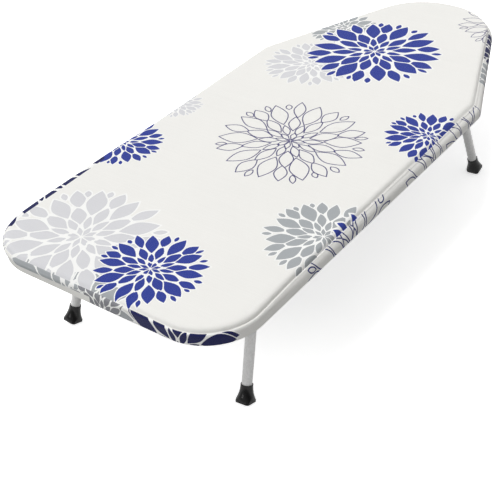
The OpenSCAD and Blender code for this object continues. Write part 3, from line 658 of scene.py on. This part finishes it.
def coverSection(inset, sharp, broad, bulge, out):
    # distance in and height from the flat face round to the hem's casing
    top, low = cover["top"], cover["bottom"]
    under = len(cover["shoulder"]) - 1
    section = []
    for i, (a, b) in enumerate(cover["shoulder"]):
        t = i / under
        a *= broad if a > 0 else 1
        softIn = (inset + cover["softReach"] * broad) * (1 - t) ** 1.25 + 0.35 * inset * t
        softDown = cover["softFall"] * t ** 2.6
        section.append((softIn + (inset + a - softIn) * sharp, top - (softDown + (b - softDown) * sharp)))
    start = Vector(section[-1])
    middle = Vector((0.12 * start.x - 1.5 * bulge, top - cover["bandMiddle"]))
    end = Vector((-0.3 * bulge, top - cover["bandEnd"]))
    inward, height, radius = cover["rimRoll"]
    first = math.acos(max(-1, min(1, (inward - start.x) / radius)))
    onRoll = max(0, min(1, (start.x - 2) / 3))       # far enough in, the cloth lies round the rim's rolled edge
    for i in range(1, cover["bandSteps"] + 1):
        t = i / cover["bandSteps"]
        loose = start * (1 - t) ** 2 + middle * 2 * t * (1 - t) + end * t * t
        angle = first * (1 - t)
        fall = (start.y - height - radius * math.sin(first)) * (1 - t) ** 2
        laid = Vector((inward - radius * math.cos(angle), height + radius * math.sin(angle) + fall))
        section.append(tuple(loose.lerp(laid, onRoll)))
    section += [(a + share * bulge, low + up) for a, share, up in cover["lowerCorner"]]
    hemFirst = section[-1][0]
    width = cover["sideHem"] + (cover["noseHem"] - cover["sideHem"]) * max(0, out.x)
    width += (cover["tailHem"] - cover["sideHem"]) * max(0, -out.x)
    casing, centreIn, centreDown, halfWidth, halfHeight = cover["casing"]
    for i in range(1, cover["hemSteps"] + 1):
        section.append((hemFirst + (width - casing - hemFirst) * i / cover["hemSteps"], low))
    for turn in cover["casingTurns"]:
        a = math.radians(turn)
        section.append((width - centreIn + halfWidth * math.cos(a), low - centreDown + halfHeight * math.sin(a)))
    return section


def onSpine(x):
    # the nearest point of the line
    return Vector((min(max(x, board["spineTail"]), board["spineNose"]), 0.0))


def faceDrop(x, y):
    # how far the face lies below its level: a slight dip along the fold, lifted over the hinge knuckles
    dip = cover["valleyDepth"] * math.exp(-(x / cover["valleyWidth"]) ** 2)
    knuckle = cover["knuckle"]
    lift = 0.0
    for side in (-1, 1):
        across = max(abs(y - side * board["hingeAcross"]) - knuckle["halfWidth"], 0) / knuckle["fade"][0]
        along = max(abs(x) - knuckle["reach"], 0) / knuckle["fade"][1]
        lift = max(lift, math.exp(-across ** 2) * math.exp(-along ** 2))
    return dip - lift * (dip + knuckle["lift"])


def makeCover():
    sections = [coverSection(*crease, out) for crease, (_, out) in zip(creases, edge)]
    faceRings, creaseStart, gathers = cover["faceRings"], cover["creaseStart"], cover["gathers"]
    rolled, under = cover["rolledOver"], cover["turnedUnder"]
    ripple, middle, reach = cover["ripple"]
    bandStart = len(cover["shoulder"])
    hemStart = bandStart + cover["bandSteps"] + len(cover["lowerCorner"])
    verts, prints, tucked = [], [], []      # tucked: 1 where the cloth is turned under and shows no print
    phase = 0.0
    for k, (q, out) in enumerate(edge):
        first = q - out * sections[k][0][0]
        spine = onSpine(q.x)
        for i in range(faceRings):
            at = spine + (first - spine) * i / faceRings
            verts.append((at.x, at.y, cover["top"] - faceDrop(at.x, at.y)))
            prints.append((at.x, at.y, 0.0))
            tucked.append(0.0)
        # gathers: narrow pleats that hang below the hem round the nose and the tail corners
        gather = gathers["side"] + gathers["nose"] * max(0, out.x) ** 0.7 + gathers["tail"] * max(0, -out.x) ** 0.7
        if q.x < 0:
            gather *= min(1, max(0.05, (abs(q.y) - gathers["clip"]) / gathers["ease"]))
        phase += (lengths[k + 1] - lengths[k]) / (gathers["every"] + gathers["uneven"] * wave(q.x, q.y, 0.04, 1))
        pleat = (0.5 + 0.5 * math.cos(2 * math.pi * phase)) ** 1.4
        over = rolled["from"] < q.x < rolled["to"] and out.y > rolled["facing"]
        start = 0 if over else creaseStart
        tuck = max(0, min(1, (q.y - under["from"]) / under["over"])) if q.x < under["before"] and not over else 0.0
        depth = 0.0
        bandEdge = q - out * sections[k][start][0]
        for i, (inward, z) in enumerate(sections[k]):
            if i > start:
                before = sections[k][i - 1]
                depth += math.hypot(inward - before[0], z - before[1])
            if i <= creaseStart:
                z -= faceDrop((q - out * inward).x, (q - out * inward).y) * (1 - i / creaseStart)
            z -= gather * pleat * min(1, max(0, i - hemStart) / gathers["grow"])
            band = max(0, 1 - abs(i - bandStart - middle) / reach) if i > bandStart else 0
            inward += ripple * band * (wave(q.x, q.y, 0.035, 5) + 0.5) * max(0.2, abs(out.x))
            place = q - out * inward
            verts.append((place.x, place.y, z))
            flat = place if i <= start else bandEdge + out * depth
            prints.append((flat.x, flat.y, depth))
            tucked.append(tuck if under["depths"][0] < depth < under["depths"][1] else 0.0)
    prints = [tuple(c * mm for c in place) for place in prints]
    made = meshPiece("cover", [Vector(v) * mm for v in verts], facesRound(len(edge), len(verts) // len(edge)),
                     clothMaterial, {"printPlace": prints, "tucked": tucked}, join=0.02, topAbove=cover["top"] - 0.5)
    shell = made.modifiers.new("cloth thickness", "SOLIDIFY")
    shell.thickness = cover["thickness"] * mm
    shell.offset = -1
    return made


coverPiece = makeCover()
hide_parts("tail_cover", "nose_cover")
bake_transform(coverPiece)
print("cover ready")


tones = {
    "paint": "EDEDEC", "smudgedPaint": "E6E6E4", "wornPaint": "BDBDBB",
    "wornPlastic": "3A3A3C", "dullSteel": "8D8E90",
    "felt": "E9E8E2", "feltClump": "D9D7CE",
    "yarn": "4A4A4E", "paintedShadeBetweenYarns": "18181A",
}


def makePaint():
    made, wires, skin = newMaterial("glossPaint", Coat_Weight=0.6, Coat_Roughness=0.06)
    place = objectPlace(wires)
    paint = wires.group(paintGroup, Place=place)
    wear = wires.group(wearGroup, Place=place, Amount=0.25)
    colour = wires.mix("RGBA", paint.outputs["Smudge"], linear(tones["paint"]), linear(tones["smudgedPaint"]))
    colour = wires.mix("RGBA", wear.outputs[0], colour, linear(tones["wornPaint"]))
    dressed(wires, skin, colour, paint.outputs["Height"], 0.00006, (paint.outputs["Smudge"], 0.1, 0.22))
    return made


def makePlastic(name, colour, gloss, scale):
    made, wires, skin = newMaterial(name, IOR=1.5, Specular_IOR_Level=0.3)
    place = objectPlace(wires)
    grain = wires.group(grainGroup, Place=place, Scale=scale)
    wear = wires.group(wearGroup, Place=place, Amount=0.35)
    tone = wires.mix("RGBA", wear.outputs[0], linear(colour), linear(tones["wornPlastic"]))
    dressed(wires, skin, tone, grain.outputs["Height"], 0.00002, (grain.outputs["Patch"], 0.08, gloss))
    return made


def makeSteel(name, colour, rough, stretch):
    # bare steel with fine drawn lines, run along the piece's own length where it has one
    made, wires, skin = newMaterial(name, Metallic=1.0)
    place = objectPlace(wires)
    lines = wires.noise(wires.vector("MULTIPLY", place, stretch), 1200.0, 3.0, 0.6)
    dull = wires.ramp(wires.noise(place, 90.0, 4.0, 0.6), 0.3, 0.75)
    tone = wires.mix("RGBA", wires.math("MULTIPLY", dull, 0.5), linear(colour), linear(tones["dullSteel"]))
    dressed(wires, skin, tone, lines, 0.00003, (lines, 0.14, rough))
    return made


def makeFelt():
    made, wires, skin = newMaterial("paddingFelt", Roughness=0.95, Specular_IOR_Level=0.15, Sheen_Weight=0.3)
    place = objectPlace(wires)
    fibre = wires.noise(wires.vector("MULTIPLY", place, (1.0, 2.4, 1.0)), 900.0, 6.0, 0.75)
    clump = wires.noise(place, 120.0, 4.0, 0.6)
    colour = wires.mix("RGBA", wires.ramp(clump, 0.3, 0.7), linear(tones["felt"]), linear(tones["feltClump"]))
    dressed(wires, skin, colour, wires.math("ADD", fibre, clump), 0.0004)
    return made


paintMaterial = makePaint()
footMaterial = makePlastic("glossBlack", "050506", 0.2, 900.0)
capMaterial = makePlastic("capBlack", "0D0D0E", 0.3, 1500.0)
lockMaterial = makePlastic("lockBlack", "101011", 0.36, 1800.0)
zincMaterial = makeSteel("zincPlate", "C3C6CA", 0.24, (1, 1, 1))
wireMaterial = makeSteel("brightWire", "D2D3D6", 0.1, (1, 1, 6))
feltMaterial = makeFelt()

padding = {
    "bottom": 149.05,
    "fromCrease": 1.9, "fromEdge": 4.6,     # how far inside the crease and the cover's edge its side stands
    "clear": 0.75,          # the room it leaves under the cover's face
    # its side from the bottom round to the flat face: mm further in, share of its height
    "side": [(6.0, 0.0), (1.6, 0.02), (0.4, 0.12), (0.0, 0.32), (0.35, 0.55), (1.3, 0.76), (3.0, 0.9), (5.6, 0.97),
             (9, 1.0)],
    "rows": 12,
    "lumps": 0.12,
}


def makePadding():
    verts = []
    for k, (q, out) in enumerate(edge):
        inset = max(creases[k][0] + padding["fromCrease"], padding["fromEdge"])
        spine = onSpine(q.x)
        side = [(q - out * (inset + a), b) for a, b in padding["side"]]
        bottom, top = [[(spine + (end - spine) * i / padding["rows"], b) for i in range(padding["rows"])]
                       for end, b in (side[0], side[-1])]
        for at, share in bottom + side + top[::-1]:
            high = cover["top"] - padding["clear"] - faceDrop(at.x, at.y) - padding["bottom"]
            lump = padding["lumps"] * wave(at.x, at.y, 0.05, 9) * share * (1 if abs(at.x) > 10 else 0.2)
            verts.append(Vector((at.x, at.y, padding["bottom"] + high * share + lump)) * mm)
    made = meshPiece("padding", verts, facesRound(len(edge), len(verts) // len(edge)), feltMaterial)
    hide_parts("tail_pad", "nose_pad")
    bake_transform(made)


drawcord = {
    "across": -54, "spread": 8, "diameter": 2.6,
    # one strand from the tail hem over the leg's cross tube and down: x and height
    "run": [(-369, 136.4), (-364, 136.3), (-356, 135.9), (-346, 135.4), (-335, 135.1), (-324, 135.2), (-313, 135.6),
            (-303, 136.3), (-294, 137.2), (-286.5, 138.1), (-279, 138.6), (-273.4, 136.3), (-271, 130.7),
            (-270.8, 122), (-270.8, 112), (-270.8, 102), (-270.8, 92), (-270.8, 84), (-270.8, 77)],
    "sides": 12, "finer": 4,
    "turns": 8,            # steps round the half circle at the bottom
    "braid": 2600.0, "yarns": 8.0,
}


def smoothPath(points, finer):
    # a Catmull-Rom line through the points
    path = []
    ends = [points[0]] + points + [points[-1]]
    for i in range(1, len(ends) - 2):
        p0, p1, p2, p3 = ends[i - 1:i + 3]
        for j in range(finer):
            t = j / finer
            path.append(0.5 * (2 * p1 + (p2 - p0) * t + (2 * p0 - 5 * p1 + 4 * p2 - p3) * t * t
                               + (3 * p1 - p0 - 3 * p2 + p3) * t ** 3))
    path.append(points[-1])
    return path


def makeCordMaterial():
    # a round braid: two sets of yarns that cross at a slant
    made, wires, skin = newMaterial("braidedCord", Roughness=0.8, Specular_IOR_Level=0.3, Sheen_Weight=0.2)
    onCord = wires.node("Attribute", {"attribute_name": "braidPlace"}).outputs["Vector"]
    place = wires.node("SeparateXYZ", None, Vector=onCord)
    along = wires.math("MULTIPLY", place.outputs["X"], drawcord["braid"])
    about = wires.math("MULTIPLY", place.outputs["Y"], drawcord["yarns"])
    left = wires.math("SINE", wires.math("ADD", along, about))
    right = wires.math("SINE", wires.math("SUBTRACT", along, about))
    over = wires.math("GREATER_THAN", wires.math("MULTIPLY", left, right), 0.0)
    yarn = wires.mix("FLOAT", over, wires.math("ABSOLUTE", left), wires.math("ABSOLUTE", right))
    fuzz = wires.noise(objectPlace(wires), 5200.0, 3.0, 0.7)
    height = wires.math("ADD", yarn, wires.math("MULTIPLY", fuzz, 0.5))
    # painted shade: the colour darkens down between the yarns and is lighter on their tops
    lit = wires.ramp(height, 0.1, 1.1)
    tone = wires.mix("RGBA", lit, linear(tones["paintedShadeBetweenYarns"]), linear(tones["yarn"]))
    dressed(wires, skin, tone, height, 0.00035)
    return made


def makeDrawcord():
    across, spread = drawcord["across"], drawcord["spread"]
    run = drawcord["run"]
    lastX, lastZ = run[-1]
    points = [Vector((x, across + spread, z)) for x, z in run]
    for i in range(1, drawcord["turns"]):
        angle = math.pi * i / drawcord["turns"]
        points.append(Vector((lastX, across + spread * math.cos(angle), lastZ - spread * math.sin(angle))))
    points += [Vector((x, across - spread, z)) for x, z in run[::-1]]
    path = smoothPath(points, drawcord["finer"])
    sides, radius = drawcord["sides"], drawcord["diameter"] / 2
    verts, braid = [], []
    length = 0.0
    sideways = Vector((0, 1, 0))
    for i, p in enumerate(path):
        before = path[max(i - 1, 0)]
        forward = (path[min(i + 1, len(path) - 1)] - before).normalized()
        length += (p - before).length
        sideways = (sideways - forward * sideways.dot(forward)).normalized()
        up = forward.cross(sideways)
        for j in range(sides):
            a = 2 * math.pi * j / sides
            verts.append((p + radius * (sideways * math.cos(a) + up * math.sin(a))) * mm)
            braid.append((length * mm, a, 0))
    faces = facesAlong(len(path), sides) + [tuple((len(path) - 1) * sides + j for j in range(sides))]
    made = meshPiece("drawcordBraid", verts, faces, makeCordMaterial(), {"braidPlace": braid})
    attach(made, "tail_half")
    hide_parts("drawcord")
    return made, path, length


lock = {
    "top": 98, "length": 41, "width": 18.5, "thickness": 9, "barrel": 15, "neck": 14, "bulb": 10,
    "button": (6.2, 5.6, 1.2),            # the thumb button on the bulb: radii and height
    "ribs": 5, "firstRib": 3.6, "ribEvery": 2.1,
    "sides": 36, "bulbSteps": 12,
}


def makeLock(x):
    # the outline from the top down to the round thumb end: distance below the top, half width
    half, barrel, neck, bulb = lock["width"] / 2, lock["barrel"], lock["neck"] / 2, lock["bulb"]
    bulbCentre = lock["length"] - bulb
    line = [(0.0, half - 1.6), (0.35, half - 0.7), (1.2, half - 0.15), (2.4, half),
            (barrel - 2.0, half), (barrel - 0.8, half - 0.2), (barrel + 0.2, half - 0.9),
            (barrel + 1.6, neck + 0.2), (barrel + 3.0, neck - 0.2)]
    start = math.asin(min(1, (neck - 0.2) / bulb))
    for i in range(lock["bulbSteps"] + 1):
        a = start + (math.pi - start) * i / lock["bulbSteps"]
        line.append((bulbCentre - bulb * math.cos(a), bulb * math.sin(a)))
    top = Vector((x, drawcord["across"], lock["top"]))
    verts, sides, thickness = [], lock["sides"], lock["thickness"]
    for down, wide in line:
        deep = thickness / 2 * min(1, 0.55 + 0.45 * min(1, wide / 4.0)) if down > 1.2 else thickness / 2 - 0.9
        if down > barrel + 1:
            deep *= 0.9
        power = 2 / 5 if down < barrel + 1 else 2 / 3      # a rounded rectangle in section
        for j in range(sides):
            c, q = math.cos(2 * math.pi * j / sides), math.sin(2 * math.pi * j / sides)
            at = (deep * math.copysign(abs(c) ** power, c), wide * math.copysign(abs(q) ** power, q), -down)
            verts.append((top + Vector(at)) * mm)
    made = meshPiece("cordLock", verts, facesAlong(len(line), sides), lockMaterial)
    bumps = bmesh.new()
    bumps.from_mesh(made.data)
    button = Matrix.Translation((top - Vector((thickness * 0.45, 0, bulbCentre))) * mm)
    wide, narrow, height = lock["button"]
    bmesh.ops.create_cone(bumps, cap_ends=True, segments=32, radius1=wide * mm, radius2=narrow * mm, depth=height * mm,
                          matrix=button @ Matrix.Rotation(-math.pi / 2, 4, "Y"))
    for i in range(lock["ribs"]):      # grip ribs across the barrel
        down = lock["firstRib"] + lock["ribEvery"] * i
        rib = Matrix.Translation((top - Vector((thickness * 0.47, 0, down))) * mm)
        rib = rib @ Matrix.Diagonal((1.1 * mm, lock["width"] * 0.62 * mm, 0.8 * mm, 1))
        bmesh.ops.create_cube(bumps, size=1, matrix=rib)
    bumps.to_mesh(made.data)
    bumps.free()
    eased(made, "moulded edges", 0.12)
    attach(made, "tail_half")
    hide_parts("cord_lock")
    return made


makePadding()
print("padding ready")
cordPiece, cordPath, cordLength = makeDrawcord()
lockPiece = makeLock(drawcord["run"][-1][0])
print("drawcord ready, mm:", round(cordLength, 1))

# the first of these words in a node's name decides its finish; all the rest is painted
finishes = [("rivets", zincMaterial), ("pin", zincMaterial), ("foot", footMaterial), ("hook_cap", capMaterial),
            ("hook_wire", wireMaterial)]
bevels = {"foot": 0.6, "leg_bracket": 0.4, "rail": 0.3, "rim": 0.3, "leaf": 0.3, "hook_clips": 0.3}     # mm
smoothTo, bevelFrom = 32, 35      # degrees between two faces


def makeSmoother():
    # joins the split corners of a piece, then shades it smooth up to a limit angle
    geometry = {"Geometry": "Geometry"}
    wires, given, result = newGroup("smoothShade", geometry, geometry, "GeometryNodeTree")
    joined = wires.node("GeometryNodeMergeByDistance", None, Geometry=given[0], Distance=0.01 * mm)
    faces = wires.node("GeometryNodeSetShadeSmooth", None, Geometry=joined.outputs[0])
    angle = wires.node("GeometryNodeInputMeshEdgeAngle").outputs["Unsigned Angle"]
    sharp = wires.node("FunctionNodeCompare", {"operation": "GREATER_THAN"}, A=angle, B=math.radians(smoothTo))
    edges = wires.node("GeometryNodeSetShadeSmooth", {"domain": "EDGE"}, Geometry=faces.outputs[0],
                       Selection=sharp.outputs[0], Shade_Smooth=False)
    wires.plug(result[0], edges.outputs[0])
    return wires.tree


smoother = makeSmoother()
for name, piece in nodes.items():
    if piece.hide_render:      # a new piece stands in for it
        continue
    finish = next((made for word, made in finishes if word in name), paintMaterial)
    for slot in piece.material_slots:
        slot.material = finish
    tidy = piece.modifiers.new("smooth shade", "NODES")
    tidy.node_group = smoother
    for word, width in bevels.items():
        if word in name and "rivets" not in name:
            bevel = eased(piece, "eased edges", width)
            bevel.angle_limit = math.radians(bevelFrom)
            bevel.harden_normals = True
print("finishes ready")
